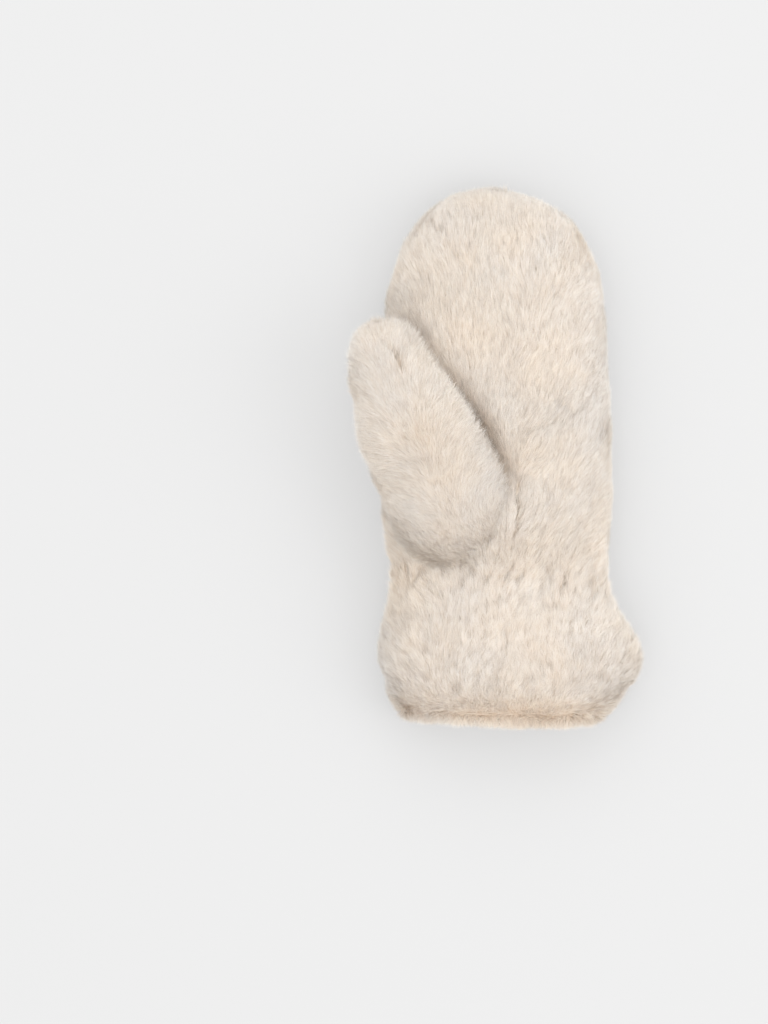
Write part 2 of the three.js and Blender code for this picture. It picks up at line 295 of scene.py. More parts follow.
@dataclass
class Hand:
    """The hand and cuff: the outline that their fur follows, with the places of the seams on it."""

    half_width: float = 60 * MM
    half_height: float = 24 * MM
    middle_height: float = 22 * MM
    nose: float = 31 * MM
    row_pitch: float = 2 * MM
    columns: int = 176
    nose_rows: int = 22
    lip: float = 5 * MM
    lip_rows: int = 8
    lip_turn: float = math.radians(150)
    wrist: float = -64 * MM
    wrist_slope: float = math.tan(math.radians(5))
    hem_slope: float = math.tan(math.radians(2))
    slope_fade: float = 60 * MM

    def __post_init__(self) -> None:
        """Reads the ends of the mitten from the construction model."""
        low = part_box(Zone.CUFF.value)[0]
        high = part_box(Zone.BACK.value)[1]
        self.hem = low.y + self.hem_slope * self.half_width
        self.tip = high.y
        self.nose_start = self.tip - self.nose

    def slope(self, y: np.ndarray) -> np.ndarray:
        """How much a row across the mitten slopes down to the little finger's side."""
        to_wrist = fade(y, self.hem, self.wrist)
        to_fingers = 1 - fade(y, self.wrist + 15 * MM, self.wrist + self.slope_fade)
        slope = self.hem_slope + (self.wrist_slope - self.hem_slope) * to_wrist
        return slope * to_fingers

    def build(self) -> Form:
        """The outline over hand and cuff, from inside the hem's edge to the fingertips."""
        start = self.hem + self.lip
        straight = np.arange(start, self.nose_start, self.row_pitch)
        turns = np.linspace(math.pi / 2, 0.06, self.nose_rows)
        angles = np.arange(self.columns) * (2 * math.pi / self.columns)
        across = np.cos(angles) * self.half_width
        up = np.sin(angles) * self.half_height
        origins, directions = [], []
        for y in straight:
            origins.append((0, y, self.middle_height))
            directions.append(np.stack([across, -self.slope(np.array(y)) * across, up], axis=-1))
        for turn in turns:
            origins.append((0, self.nose_start, self.middle_height))
            forward = np.full(self.columns, self.nose * math.cos(turn))
            directions.append(np.stack([across * math.sin(turn), forward, up * math.sin(turn)], axis=-1))
        origins, directions = np.array(origins, float), np.array(directions)
        tree = merged_tree([Zone.BACK.value, Zone.PALM.value, Zone.CUFF.value])
        reach = evened(outer_reach(tree, origins, directions), along=7, round_=5, keep=1)
        form = Form(origins, directions, reach)
        self.first_straight = self.lip_rows
        self.add_lip(form)
        return form

    def add_lip(self, form: Form) -> None:
        """Carries the outline round the hem's edge and a little way into the mouth."""
        core = form.points[0] - form.normals[0] * self.lip
        outward = form.normals[0].copy()
        outward[:, 1] = 0
        outward = unit(outward)
        tilt = np.arctan2(-form.normals[0, :, 1], np.hypot(form.normals[0, :, 0], form.normals[0, :, 2]))
        rows = []
        for share in np.linspace(1, 0, self.lip_rows, endpoint=False):
            turn = (tilt + (self.lip_turn - tilt) * share)[:, None]
            way = outward * np.cos(turn) + np.array([0, -1, 0]) * np.sin(turn)
            rows.append(core + way * self.lip)
        lip = np.array(rows)
        form.points = np.concatenate([lip, form.points])
        form.origins = np.concatenate([np.repeat(form.origins[:1], self.lip_rows, axis=0), form.origins])
        form.directions = np.concatenate([lip - core, form.directions])
        form.reach = np.concatenate([np.repeat(form.reach[:1], self.lip_rows, axis=0), form.reach])
        form.shift = np.zeros_like(form.points)
        form.refresh()

    def closeness(self, form: Form, points: np.ndarray) -> np.ndarray:
        """How far out each point lies, as a share of the outline's own reach there: under 1 is inside."""
        y = points[:, 1] + self.slope(points[:, 1]) * points[:, 0]
        ahead = np.maximum(y - self.nose_start, 0) / self.nose
        across = points[:, 0] / self.half_width
        up = (points[:, 2] - self.middle_height) / self.half_height
        reach = np.sqrt(across ** 2 + ahead ** 2 + up ** 2)
        columns = (np.arctan2(up, across) % (2 * math.pi)) * self.columns / (2 * math.pi)
        turn = np.arctan2(np.hypot(across, up), ahead)
        straight_rows = (y - self.hem - self.lip) / self.row_pitch
        nose_first = len(form.points) - self.nose_rows
        nose_rows = nose_first + (math.pi / 2 - turn) / (math.pi / 2 - 0.06) * (self.nose_rows - 1)
        rows = np.where(ahead > 0, nose_rows, self.first_straight + np.maximum(straight_rows, 0))
        rows = np.clip(rows, 0, len(form.points) - 1.001)
        outline = form.read(form.reach, rows, columns)
        return np.where(y < self.hem, 9.0, reach / outline)


@dataclass
class Thumb:
    """The thumb: the outline that its fur follows round its midline."""

    heel: tuple[float, float, float] = (-13 * MM, -52 * MM, 36 * MM)
    middle: tuple[float, float, float] = (-43 * MM, 12 * MM, 53 * MM)
    tip: tuple[float, float, float] = (-64.5 * MM, 68 * MM, 48 * MM)
    half_width: float = 27 * MM
    half_depth: float = 18 * MM
    heel_round: float = 24 * MM
    tip_round: float = 20 * MM
    row_pitch: float = 1.8 * MM
    end_rows: int = 14
    columns: int = 88

    def midline(self, share: float) -> tuple[np.ndarray, np.ndarray]:
        """The midline's place and direction at a share of its length."""
        a, b, c = (np.array(p) for p in (self.heel, self.middle, self.tip))
        bend = b * 2 - (a + c) / 2
        place = a * (1 - share) ** 2 + bend * 2 * share * (1 - share) + c * share ** 2
        way = (bend - a) * 2 * (1 - share) + (c - bend) * 2 * share
        return place, unit(way)

    def build(self) -> Form:
        """The outline over the thumb, from the heel of its gusset to its tip."""
        length = np.linalg.norm(np.array(self.tip) - np.array(self.heel))
        first, last = self.heel_round / length, 1 - self.tip_round / length
        turns = np.linspace(0.08, math.pi / 2, self.end_rows, endpoint=False)
        stations = [(first, turn, -self.heel_round) for turn in turns]
        count = int(length * (last - first) / self.row_pitch)
        stations += [(share, math.pi / 2, 0.0) for share in np.linspace(first, last, count)]
        stations += [(last, turn, self.tip_round) for turn in turns[::-1]]
        angles = np.arange(self.columns) * (2 * math.pi / self.columns)
        origins, directions, self.axes = [], [], []
        for share, turn, end in stations:
            place, forward = self.midline(share)
            sideways = unit(np.cross(forward, (0, 0, 1)))
            upward = np.cross(sideways, forward)
            origins.append(place)
            around = np.outer(np.cos(angles) * self.half_width, sideways)
            around += np.outer(np.sin(angles) * self.half_depth, upward)
            directions.append(around * math.sin(turn) + forward * end * math.cos(turn))
            self.axes.append((forward, sideways, upward))
        self.axes = np.array(self.axes)
        origins, directions = np.array(origins), np.array(directions)
        reach = outer_reach(merged_tree([Zone.THUMB.value]), origins, directions)
        return Form(origins, directions, evened(reach, along=7, round_=5, keep=0))

    def closeness(self, form: Form, points: np.ndarray) -> np.ndarray:
        """How far out each point lies, as a share of the outline's own reach there: under 1 is inside."""
        straight = slice(self.end_rows, len(form.points) - self.end_rows)
        places = form.origins[straight]
        nearest = np.zeros(len(points), int)
        for part in np.array_split(np.arange(len(points)), max(1, len(points) // 20000)):
            gaps = np.linalg.norm(points[part, None] - places[None], axis=-1)
            nearest[part] = np.argmin(gaps, axis=1)
        rows = nearest + self.end_rows
        forward, sideways, upward = (self.axes[rows, k] for k in range(3))
        offset = points - form.origins[rows]
        ahead = np.sum(offset * forward, axis=1)
        at_tip = rows == len(form.points) - self.end_rows - 1
        at_heel = rows == self.end_rows
        beyond = np.where(at_tip, np.maximum(ahead, 0) / self.tip_round, 0)
        beyond += np.where(at_heel, np.maximum(-ahead, 0) / self.heel_round, 0)
        across = np.sum(offset * sideways, axis=1) / self.half_width
        up = np.sum(offset * upward, axis=1) / self.half_depth
        columns = (np.arctan2(up, across) % (2 * math.pi)) * self.columns / (2 * math.pi)
        outline = form.read(form.reach, rows.astype(float), columns)
        return np.sqrt(across ** 2 + up ** 2 + beyond ** 2) / outline


@dataclass(frozen=True)
class Parting:
    """A short line where the pile is pushed apart and pressed down."""

    start: tuple[float, float]
    end: tuple[float, float]
    reach: float = 3.0 * MM
    sink: float = 3.0 * MM
    spread: float = 0.7
    up: bool = True

    def offsets(self, points: np.ndarray) -> tuple[np.ndarray, np.ndarray, np.ndarray]:
        """The distance of each point from the line, and the way there across and along."""
        a, b = np.array(self.start), np.array(self.end)
        run = b - a
        share = np.clip(((points[:, :2] - a) @ run) / (run @ run), 0, 1)
        away = points[:, :2] - a - share[:, None] * run
        distance = np.linalg.norm(away, axis=1)
        way = away / np.maximum(distance, 1e-9)[:, None]
        return distance, way[:, 0], way[:, 1]


@dataclass(frozen=True)
class Pile:
    """How the hairs of the fur stand, in a place."""

    root_depth: float = 3.4 * MM
    height: float = 4.5 * MM
    lay: float = 8.0 * MM
    width: float = 0.3 * MM
    stray: float = 0.13
    roll: float = 0.6
    tuft_pitch: float = 1.3 * MM
    tuft_pull: float = 0.4
    tuft_turn: float = 0.2
    tuft_rise: float = 0.9 * MM
    soft_normal: float = 0.76
    tuft_tone: float = 0.2
    hair_tone: float = 0.09
    guard_share: float = 0.1
    guard_rise: float = 0.9 * MM
    floor_gap: float = 0.2 * MM


@dataclass(frozen=True)
class FurFinish:
    """The fur's colours, with painted shade at the roots and in the crease between hand and thumb, and its sheen."""

    tip: tuple[float, float, float] = linear(252, 246.5, 240)
    # Painted shade: the root colour is darker than the tip's and stands in for the shade deep in the pile. The walls
    # under the pile take it too.
    root: tuple[float, float, float] = linear(227, 213, 196)
    # Painted shade: hairs in the crease between hand and thumb are darkened towards this colour.
    painted_fold_colour: tuple[float, float, float] = (0.6, 0.53, 0.45)
    blush_place: tuple[float, float] = (-42 * MM, 15 * MM)
    blush_reach: float = 8 * MM
    hem_warmth: tuple[float, float, float] = (1.0, 0.975, 0.95)
    hem_reach: tuple[float, float] = (-132 * MM, -118 * MM)
    grey: tuple[float, float, float] = linear(244, 239, 232)
    seen_through: float = 0.45
    roughness: float = 0.85
    sheen: float = 0.25
    sheen_roughness: float = 0.5
    specular: float = 0.15

    def blush(self, places: np.ndarray) -> np.ndarray:
        """How much warmer each place is: round the hem, and in a faint patch on the thumb."""
        hem = 1 - fade(places[:, 1], *self.hem_reach)
        away = np.linalg.norm(places[:, :2] - np.array(self.blush_place), axis=1)
        return np.maximum(hem, 1.2 * np.exp(-(away / self.blush_reach) ** 2))

    def material(self, name: str, tinted: bool) -> bpy.types.Material:
        """The fur's material.

        Args:
            name: The material's name.
            tinted: Whether the mesh carries the colour attribute of the blades.

        Returns:
            The material.
        """
        made = bpy.data.materials.new(name)
        made.use_nodes = True
        nodes, links = made.node_tree.nodes, made.node_tree.links
        shader = nodes["Principled BSDF"]
        shader.inputs["Roughness"].default_value = self.roughness
        shader.inputs["Specular IOR Level"].default_value = self.specular
        shader.inputs["Sheen Weight"].default_value = self.sheen
        shader.inputs["Sheen Roughness"].default_value = self.sheen_roughness
        place = nodes.new("ShaderNodeTexCoord")
        noise = nodes.new("ShaderNodeTexNoise")
        noise.inputs["Scale"].default_value = 26.0
        noise.inputs["Detail"].default_value = 3.0
        links.new(place.outputs["Object"], noise.inputs["Vector"])
        tones = nodes.new("ShaderNodeValToRGB")
        tones.color_ramp.elements[0].position = 0.3
        tones.color_ramp.elements[0].color = (0.955, 0.965, 0.985, 1)
        tones.color_ramp.elements[1].position = 0.7
        tones.color_ramp.elements[1].color = (1.0, 0.985, 0.965, 1)
        links.new(noise.outputs["Fac"], tones.inputs["Fac"])
        mix = nodes.new("ShaderNodeMix")
        mix.data_type = "RGBA"
        mix.blend_type = "MULTIPLY"
        mix.inputs["Factor"].default_value = 1.0
        links.new(tones.outputs["Color"], mix.inputs["B"])
        if tinted:
            tint = nodes.new("ShaderNodeAttribute")
            tint.attribute_name = "fur_tint"
            links.new(tint.outputs["Color"], mix.inputs["A"])
        else:
            # The walls under the pile take the darker root colour: painted shade beneath the hairs.
            mix.inputs["A"].default_value = (*self.root, 1)
        links.new(mix.outputs["Result"], shader.inputs["Base Color"])
        if tinted:
            through = nodes.new("ShaderNodeBsdfTranslucent")
            links.new(mix.outputs["Result"], through.inputs["Color"])
            both = nodes.new("ShaderNodeMixShader")
            both.inputs["Fac"].default_value = self.seen_through
            links.new(shader.outputs["BSDF"], both.inputs[1])
            links.new(through.outputs["BSDF"], both.inputs[2])
            links.new(both.outputs["Shader"], nodes["Material Output"].inputs["Surface"])
        return made


@dataclass(frozen=True)
class BackingFinish:
    """The knitted backing that shows inside the mouth."""

    colour: tuple[float, float, float] = linear(214, 200, 180)
    shade: tuple[float, float, float] = linear(176, 160, 138)
    roughness: float = 0.9
    rib_scale: float = 900.0

    def material(self, name: str) -> bpy.types.Material:
        """The backing's material: fine knitted ribs with a slight bump."""
        made = bpy.data.materials.new(name)
        made.use_nodes = True
        nodes, links = made.node_tree.nodes, made.node_tree.links
        shader = nodes["Principled BSDF"]
        shader.inputs["Roughness"].default_value = self.roughness
        shader.inputs["Specular IOR Level"].default_value = 0.2
        place = nodes.new("ShaderNodeTexCoord")
        ribs = nodes.new("ShaderNodeTexWave")
        ribs.bands_direction = "X"
        ribs.inputs["Scale"].default_value = self.rib_scale
        ribs.inputs["Distortion"].default_value = 1.5
        links.new(place.outputs["Object"], ribs.inputs["Vector"])
        tones = nodes.new("ShaderNodeValToRGB")
        tones.color_ramp.elements[0].color = (*self.shade, 1)
        tones.color_ramp.elements[1].color = (*self.colour, 1)
        links.new(ribs.outputs["Fac"], tones.inputs["Fac"])
        links.new(tones.outputs["Color"], shader.inputs["Base Color"])
        bump = nodes.new("ShaderNodeBump")
        bump.inputs["Strength"].default_value = 0.3
        bump.inputs["Distance"].default_value = 0.3 * MM
        links.new(ribs.outputs["Fac"], bump.inputs["Height"])
        links.new(bump.outputs["Normal"], shader.inputs["Normal"])
        return made


def mesh_of(name: str, points: np.ndarray, triangles: np.ndarray) -> bpy.types.Mesh:
    """A mesh from arrays of points and triangles."""
    mesh = bpy.data.meshes.new(name)
    mesh.vertices.add(len(points))
    mesh.vertices.foreach_set("co", points.astype(np.float32).ravel())
    mesh.loops.add(triangles.size)
    mesh.loops.foreach_set("vertex_index", triangles.astype(np.int32).ravel())
    mesh.polygons.add(len(triangles))
    mesh.polygons.foreach_set("loop_start", np.arange(0, triangles.size, 3, dtype=np.int32))
    mesh.update(calc_edges=True)
    return mesh


def place_piece(piece: bpy.types.Object, zone: Zone) -> None:
    """Makes a finished piece ride on the mitten and stand for its node."""
    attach(piece, BODY)
    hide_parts(zone.value)


@dataclass
class Wall:
    """The cloth backing and the fur's base of one sewn piece."""

    zone: Zone
    form: Form
    fur: bpy.types.Material
    backing: bpy.types.Material
    voxel: float = 2.3 * MM
    smoothing: int = 6
    thickness: float = 10 * MM
    skin: float = 2.5 * MM
    root_depth: float = 3.4 * MM
    backing_from: float = 6.6 * MM

    def build(self) -> bpy.types.Object:
        """The wall, drawn in from the outline to the roots of the fur."""
        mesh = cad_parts[self.zone.value].data.copy()
        mesh.name = f"{self.zone.value}_wall"
        wall = bpy.data.objects.new(mesh.name, mesh)
        bpy.context.scene.collection.objects.link(wall)
        bpy.ops.object.select_all(action="DESELECT")
        wall.select_set(True)
        bpy.context.view_layer.objects.active = wall
        bpy.ops.object.mode_set(mode="EDIT")
        bpy.ops.mesh.select_all(action="SELECT")
        bpy.ops.mesh.remove_doubles(threshold=0.01 * MM)
        bpy.ops.object.mode_set(mode="OBJECT")
        remesh = wall.modifiers.new("even", "REMESH")
        remesh.mode = "VOXEL"
        remesh.voxel_size = self.voxel
        bpy.ops.object.modifier_apply(modifier=remesh.name)
        smooth = wall.modifiers.new("soften", "SMOOTH")
        smooth.factor = 0.5
        smooth.iterations = self.smoothing
        bpy.ops.object.modifier_apply(modifier=smooth.name)
        depth = self.draw_in(wall.data)
        settle = wall.modifiers.new("settle", "SMOOTH")
        settle.factor = 0.5
        settle.iterations = 3
        bpy.ops.object.modifier_apply(modifier=settle.name)
        self.dress(wall, depth)
        place_piece(wall, self.zone)
        return wall

    def draw_in(self, mesh: bpy.types.Mesh) -> np.ndarray:
        """Moves each point in by a share of the root depth that fades to nothing at the inner face.

        Args:
            mesh: The wall's mesh, still at full thickness.

        Returns:
            The depth of each point below the outline, before the move.
        """
        tree = self.form.tree()
        places = np.zeros((len(mesh.vertices), 3))
        depth = np.zeros(len(mesh.vertices))
        for i, vertex in enumerate(mesh.vertices):
            spot, normal, face, _ = tree.find_nearest(vertex.co)
            inward = vertex.co - spot
            below = inward.length
            inside = -inward.dot(normal)
            depth[i] = below
            if below < self.skin or inside < -0.5 * below:
                share = 1 - max(inside, 0.0) / self.thickness
                move = -normal * (self.root_depth * share + max(-inside, 0.0))
            else:
                share = max(0.0, 1 - below / self.thickness)
                move = inward / below * (self.root_depth * share * max(0.0, inside / below))
            row, column = divmod(face, self.form.points.shape[1])
            places[i] = vertex.co + move + Vector(self.form.shift[row, column]) * share
        mesh.vertices.foreach_set("co", places.astype(np.float32).ravel())
        mesh.update()
        return depth

    def dress(self, wall: bpy.types.Object, depth: np.ndarray) -> None:
        """Gives the outer faces the fur's base and the inner faces the backing."""
        mesh = wall.data
        mesh.materials.clear()
        mesh.materials.append(self.fur)
        mesh.materials.append(self.backing)
        for face in mesh.polygons:
            inner = np.mean([depth[i] for i in face.vertices]) > self.backing_from
            face.material_index = 1 if inner else 0
            face.use_smooth = True


def hashed(cells: np.ndarray, seed: int) -> np.ndarray:
    """Three repeatable random shares for each cell of a lattice."""
    mixes = np.array([[127.1, 311.7, 74.7], [269.5, 183.3, 246.1], [113.5, 271.9, 124.6]])
    return np.modf(np.abs(np.sin(cells @ mixes.T + seed) * 43758.5453))[0]


def tufts(points: np.ndarray, pitch: float, seed: int) -> tuple[np.ndarray, np.ndarray]:
    """The tuft that each point belongs to.

    Args:
        points: The places of the blades.
        pitch: How far apart the tufts are.
        seed: Which scatter of tufts.

    Returns:
        The middle of each point's tuft, and three random shares for that tuft.
    """
    cells = np.floor(points / pitch)
    best = np.full(len(points), 1e9)
    middles, keys = np.zeros_like(points), np.zeros_like(points)
    for step in np.ndindex(3, 3, 3):
        cell = cells + np.array(step) - 1
        spot = (cell + hashed(cell, seed)) * pitch
        gap = np.linalg.norm(spot - points, axis=1)
        closer = gap < best
        best[closer] = gap[closer]
        middles[closer] = spot[closer]
        keys[closer] = cell[closer]
    return middles, hashed(keys, seed + 7)


@dataclass
class Nap:
    """Which way the fur is brushed, and where it is parted."""

    hand: Hand
    partings: list[Parting]
    fan: float = 0.42
    cuff_fan: float = 0.3
    thumb_fan: float = 0.95
    hem_turn: tuple[float, float] = (1 * MM, 9 * MM)
    stray: float = 0.3

    def on_hand(self, points: np.ndarray, along: np.ndarray) -> np.ndarray:
        """The way of the brushing on hand and cuff: to the fingertips and outwards, but round the hem's edge.

        Args:
            points: Places on the outline.
            along: The way along the outline there, from the hem to the fingertips.

        Returns:
            One direction for each place.
        """
        side = points[:, 0] / self.hand.half_width
        y = points[:, 1] + self.hand.wrist_slope * points[:, 0]
        on_cuff = 1 - fade(y, self.hand.wrist - 6 * MM, self.hand.wrist + 6 * MM)
        fan = self.fan * (1 - on_cuff) + self.cuff_fan * on_cuff
        ways = np.stack([fan * side, np.ones(len(points)), np.zeros(len(points))], axis=1)
        hem = points[:, 1] + self.hand.hem_slope * points[:, 0] - self.hand.hem
        turned = 1 - fade(hem + Ripple(17, 16 * MM).at(points) * 1.5 * MM, *self.hem_turn)
        ways = ways * (1 - turned[:, None]) - along * turned[:, None]
        return self.swayed(ways, points)

    def on_thumb(self, axes: np.ndarray, offsets: np.ndarray, height: np.ndarray, points: np.ndarray) -> np.ndarray:
        """The way of the brushing on the thumb: to its tip and over its two edges.

        Args:
            axes: The thumb's forward, sideways and upward directions at each place.
            offsets: How far across the thumb each place lies, -1 to 1.
            height: How far up the thumb's own section each place lies, -1 to 1.
            points: Places on the outline.

        Returns:
            One direction for each place.
        """
        fan = self.thumb_fan * fade(points[:, 1], -50 * MM, -15 * MM) * offsets * fade(height, -0.35, 0.25)
        ways = axes[:, 0] + axes[:, 1] * fan[:, None]
        return self.swayed(ways, points)

    def swayed(self, ways: np.ndarray, points: np.ndarray) -> np.ndarray:
        """Directions with the slow changes that handling leaves in the pile."""
        sway = np.stack([Ripple(seed, 34 * MM).at(points) for seed in (11, 12, 13)], axis=1)
        small = np.stack([Ripple(seed, 12 * MM).at(points) for seed in (14, 15, 16)], axis=1)
        return unit(unit(ways) + self.stray * (0.7 * sway + 0.3 * small))

    def parted(self, points: np.ndarray, normals: np.ndarray) -> tuple[np.ndarray, np.ndarray]:
        """What the partings do to the pile.

        Args:
            points: Places on the outline.
            normals: The outline's normals there.

        Returns:
            How far the pile sinks at each place, and which way it is pushed there.
        """
        sink, push = np.zeros(len(points)), np.zeros((len(points), 3))
        for parting in self.partings:
            near = (normals[:, 2] > -0.2) if parting.up else (normals[:, 2] < 0.2)
            distance, x, y = parting.offsets(points)
            pull = np.exp(-(distance / parting.reach) ** 2) * near
            sink = np.maximum(sink, parting.sink * pull)
            push[:, 0] += parting.spread * pull * x
            push[:, 1] += parting.spread * pull * y
        return sink, push


@dataclass
class Coat:
    """The fur of one piece of the mitten, or of a part of a large one."""

    name: str
    zone: Zone
    form: Form
    weight: np.ndarray
    count: int
    pile: Pile
    finish: FurFinish
    material: bpy.types.Material
    seed: int
    edge_stray: float = 0.22
    hem_tuck: float = 0.35
    hem_stray: float = 0.35
    end_tuck: float = 0.4
    hem_span: tuple[float, float] = (3 * MM, 22 * MM)
    # Reach and span of the painted shade in the crease between hand and thumb.
    painted_fold_reach: float = 13 * MM
    painted_fold_span: tuple[float, float] = (-45 * MM, -5 * MM)

    def sample(self) -> tuple[np.ndarray, np.ndarray]:
        """Random places on the outline, as rows and columns, denser where the weight is higher."""
        mass = (self.form.areas() * self.weight).ravel()
        edges = np.cumsum(mass)
        picks = (np.arange(self.count) + self.random.random(self.count)) / self.count
        cells = np.clip(np.searchsorted(edges, picks * edges[-1]), 0, len(mass) - 1)
        width = self.form.points.shape[1]
        rows = cells // width + self.random.random(self.count)
        return rows, cells % width + self.random.random(self.count)

    def build(self, hand: Hand, hand_form: Form, thumb: Thumb, thumb_form: Form, nap: Nap) -> bpy.types.Object:
        """The blades of the coat as one mesh.

        Args:
            hand: The hand, which says what lies inside it.
            hand_form: The outline over hand and cuff.
            thumb: The thumb, which says what lies inside it.
            thumb_form: The outline over the thumb.
            nap: Which way the pile is brushed.

        Returns:
            The piece.
        """
        self.random = np.random.default_rng(self.seed)
        pile = self.pile
        rows, columns = self.sample()
        skin = self.form.read(self.form.points, rows, columns)
        normals = unit(self.form.read(self.form.normals, rows, columns))
        roots = skin - normals * pile.root_depth
        if self.zone is Zone.THUMB:
            hidden = hand.closeness(hand_form, roots) < 0.8
        else:
            hidden = thumb.closeness(thumb_form, roots) < 0.6
        shown = ~hidden
        rows, columns, skin, normals, roots = (a[shown] for a in (rows, columns, skin, normals, roots))
        count = len(skin)
        if self.zone is Zone.THUMB:
            axes = thumb.axes[np.clip(np.round(rows).astype(int), 0, len(thumb.axes) - 1)]
            turns = columns * (2 * math.pi / thumb.columns)
            across = np.cos(turns)
            ways = nap.on_thumb(axes, across, np.sin(turns), skin)
        else:
            ways = nap.on_hand(skin, self.form.read(self.form.along, rows, columns))
        sink, push = nap.parted(skin, normals)
        ways = unit(ways + push)
        middles, traits = tufts(skin, pile.tuft_pitch, self.zone_seed())
        turn = (traits[:, 0] - 0.5) * 2 * pile.tuft_turn
        ways = ways + np.cross(normals, ways) * turn[:, None]
        edge = fade(across, 0.45, 0.9) if self.zone is Zone.THUMB else np.zeros(count)
        from_hem = skin[:, 1] - hand.hem + hand.hem_slope * skin[:, 0]
        at_hem = 1 - fade(from_hem, *self.hem_span)
        stray = pile.stray + self.edge_stray * edge + self.hem_stray * at_hem
        ways = unit(ways + self.random.normal(0, 1, (count, 3)) * stray[:, None])
        flat = ways - normals * np.sum(ways * normals, axis=1, keepdims=True)
        faint = 1 - fade(np.linalg.norm(flat, axis=1), 0.15, 0.6)
        flat = unit(flat + self.form.read(self.form.along, rows, columns) * faint[:, None])
        height = pile.height + (traits[:, 1] - 0.5) * pile.tuft_rise - sink
        height *= self.random.uniform(0.75, 1.08, count)
        lay = pile.lay * (0.9 + 0.2 * traits[:, 2]) * self.random.uniform(0.75, 1.15, count)
        lay *= (1 - self.hem_tuck * at_hem) * (1 - self.end_tuck * faint)
        guard = self.random.random(count) < pile.guard_share
        height += guard * pile.guard_rise * self.random.random(count) * (1 + edge)
        lay *= 1 + 0.35 * guard * edge
        height = np.maximum(height, 1.0 * MM)
        pull = middles - skin
        pull -= normals * np.sum(pull * normals, axis=1, keepdims=True)
        tips = roots + normals * height[:, None] + flat * lay[:, None] + pull * pile.tuft_pull
        # Painted shade for the crease between hand and thumb.
        painted_fold_share = self.fold_shade(skin, thumb_form if self.zone is not Zone.THUMB else hand_form)
        return self.hairs(roots, tips, normals, traits, sink, painted_fold_share)

    def fold_shade(self, skin: np.ndarray, other: Form) -> np.ndarray:
        """How much painted shade each hair takes in the crease between hand and thumb, 0 to 1: more the nearer it
        stands to the other form, half as much on the thumb, fading out towards the heel.
        """
        tree = other.tree()
        near = np.zeros(len(skin))
        low, high = other.points.min(axis=(0, 1)) - self.painted_fold_reach, other.points.max(axis=(0, 1)) + self.painted_fold_reach
        for i in np.flatnonzero(np.all((skin > low) & (skin < high), axis=1)):
            found = tree.find_nearest(Vector(skin[i]), self.painted_fold_reach)
            if found[3] is not None:
                near[i] = 1 - found[3] / self.painted_fold_reach
        # The painted crease shade is half as strong on the thumb.
        strength = 0.5 if self.zone is Zone.THUMB else 1.0
        return strength * near ** 2 * fade(skin[:, 1], *self.painted_fold_span)

    def zone_seed(self) -> int:
        """One scatter of tufts for all the coats of a zone."""
        return 31 + list(Zone).index(self.zone)

    def hairs(self, roots: np.ndarray, tips: np.ndarray, normals: np.ndarray, traits: np.ndarray,
              sink: np.ndarray, painted_fold_share: np.ndarray) -> bpy.types.Object:
        """Makes the mesh of the hairs, one slim triangle each, with its normals and tints.

        Args:
            roots: Where each hair starts.
            tips: Where it ends.
            normals: The outline's normals there.
            traits: The three random shares of each hair's tuft.
            sink: How far each hair is pressed down.
            painted_fold_share: How much painted shade each hair takes in the crease between hand and thumb.

        Returns:
            The piece.
        """
        pile, count = self.pile, len(roots)
        along = unit(tips - roots)
        across = unit(np.cross(along, normals) + 1e-9)
        roll = self.random.uniform(-pile.roll, pile.roll, count)[:, None]
        across = unit(across * np.cos(roll) + np.cross(along, across) * np.sin(roll))
        width = pile.width * self.random.uniform(0.75, 1.2, count)[:, None]
        points = np.stack([roots - across * width / 2, roots + across * width / 2, tips], axis=1)
        floor = pile.floor_gap * self.random.uniform(1, 4, count)[:, None]
        points[..., 2] = np.maximum(points[..., 2], floor)
        mesh = mesh_of(self.name, points.reshape(-1, 3), np.arange(count * 3).reshape(-1, 3))
        facing = unit(np.cross(across, along))
        shading = unit(normals * pile.soft_normal + facing * (1 - pile.soft_normal)
                       + self.random.normal(0, 0.05, (count, 3)))
        mesh.normals_split_custom_set_from_vertices(np.repeat(shading, 3, axis=0).astype(np.float32))
        self.tint(mesh, tips, traits, sink, painted_fold_share)
        mesh.materials.append(self.material)
        piece = bpy.data.objects.new(self.name, mesh)
        bpy.context.scene.collection.objects.link(piece)
        place_piece(piece, self.zone)
        return piece

    def tint(self, mesh: bpy.types.Mesh, places: np.ndarray, traits: np.ndarray, sink: np.ndarray,
             painted_fold_share: np.ndarray) -> None:
        """Colours the hairs from root to tip, tuft by tuft, with painted shade: darker roots deep in the pile,
        darker hairs in the partings, and darker hairs in the crease between hand and thumb.

        Args:
            mesh: The mesh of the hairs.
            places: Where their tips are.
            traits: The three random shares of each hair's tuft.
            sink: How far each hair is pressed down.
            painted_fold_share: How much painted shade each hair takes in the crease between hand and thumb.
        """
        count = len(places)
        finish = self.finish
        root, tip = np.array(finish.root), np.array(finish.tip)
        grey = fade(Ripple(41, 60 * MM).at(places), -0.2, 1.4)[:, None] * 0.6
        tip = tip * (1 - grey) + np.array(finish.grey) * grey
        light = 1 + (traits[:, 1] - 0.5) * self.pile.tuft_tone
        light += self.random.normal(0, self.pile.hair_tone, count)
        # Painted shade in the partings: hairs pressed down there are darkened by up to a tenth.
        light -= 0.1 * np.clip(sink / (3 * MM), 0, 1)
        # Each hair runs from the darker root colour, which is painted shade deep in the pile, to its tip colour.
        shares = np.array([0.0, 0.0, 1.0])[None, :, None]
        colours = root * (1 - shares) + tip[:, None] * shares
        # Painted shade in the crease between hand and thumb.
        colours *= 1 - painted_fold_share[:, None, None] * (1 - np.array(finish.painted_fold_colour))
        colours *= 1 - finish.blush(places)[:, None, None] * (1 - np.array(finish.hem_warmth))
        colours = np.clip(colours * light[:, None, None], 0, 1)
        layer = mesh.color_attributes.new("fur_tint", "FLOAT_COLOR", "POINT")
        full = np.concatenate([colours, np.ones((count, 3, 1))], axis=2)
        layer.data.foreach_set("color", full.astype(np.float32).ravel())


